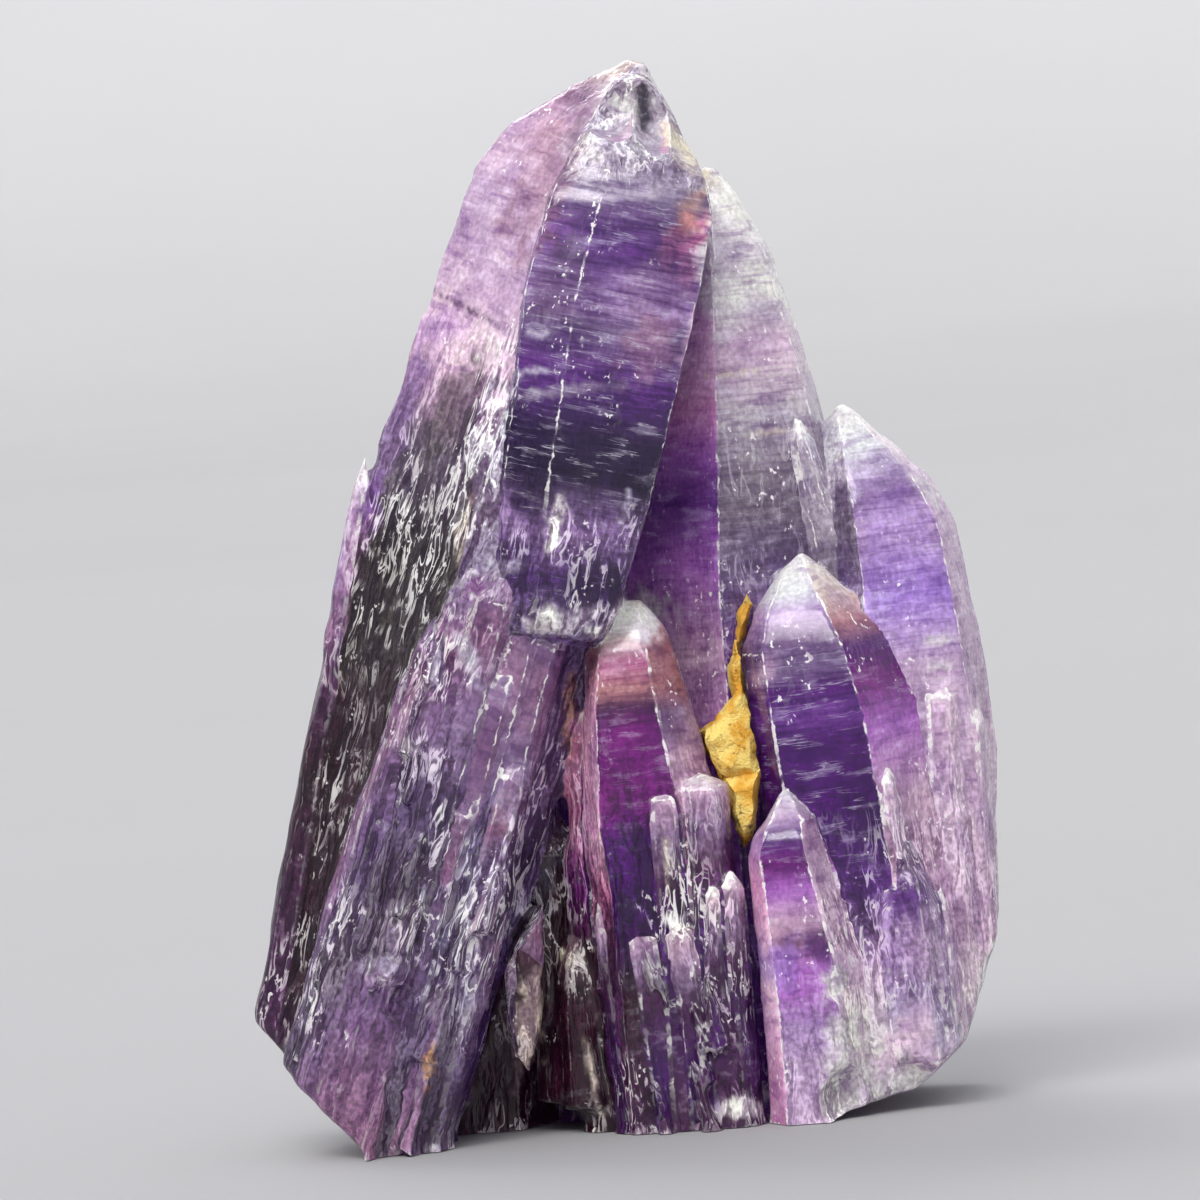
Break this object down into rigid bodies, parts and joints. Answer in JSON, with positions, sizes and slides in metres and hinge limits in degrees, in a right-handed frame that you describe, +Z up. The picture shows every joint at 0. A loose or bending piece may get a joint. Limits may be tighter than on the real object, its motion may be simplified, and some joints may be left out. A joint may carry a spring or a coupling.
{
  "type": "amethyst crystal",
  "caption": "Upright cluster of grown-together amethyst points on a broken base, with a rusty iron oxide crust in a groove.",
  "frame": {"origin": "on the base plane, under the middle of the cluster's box", "axes": "+Z up along the crystals, -Y out of the front, +X to the right seen from the front"},
  "size_m": [0.0431, 0.0228, 0.0594],
  "materials": {
    "amethyst": "natural crystal faces with fine growth lines, etched and chipped lower down, see-through",
    "iron_oxide": "earthy iron oxide crust, matt and grainy"
  },
  "bodies": {
    "root": {"crystal_cluster": "amethyst", "iron_oxide_crust": "iron_oxide"}
  },
  "joints": []
}
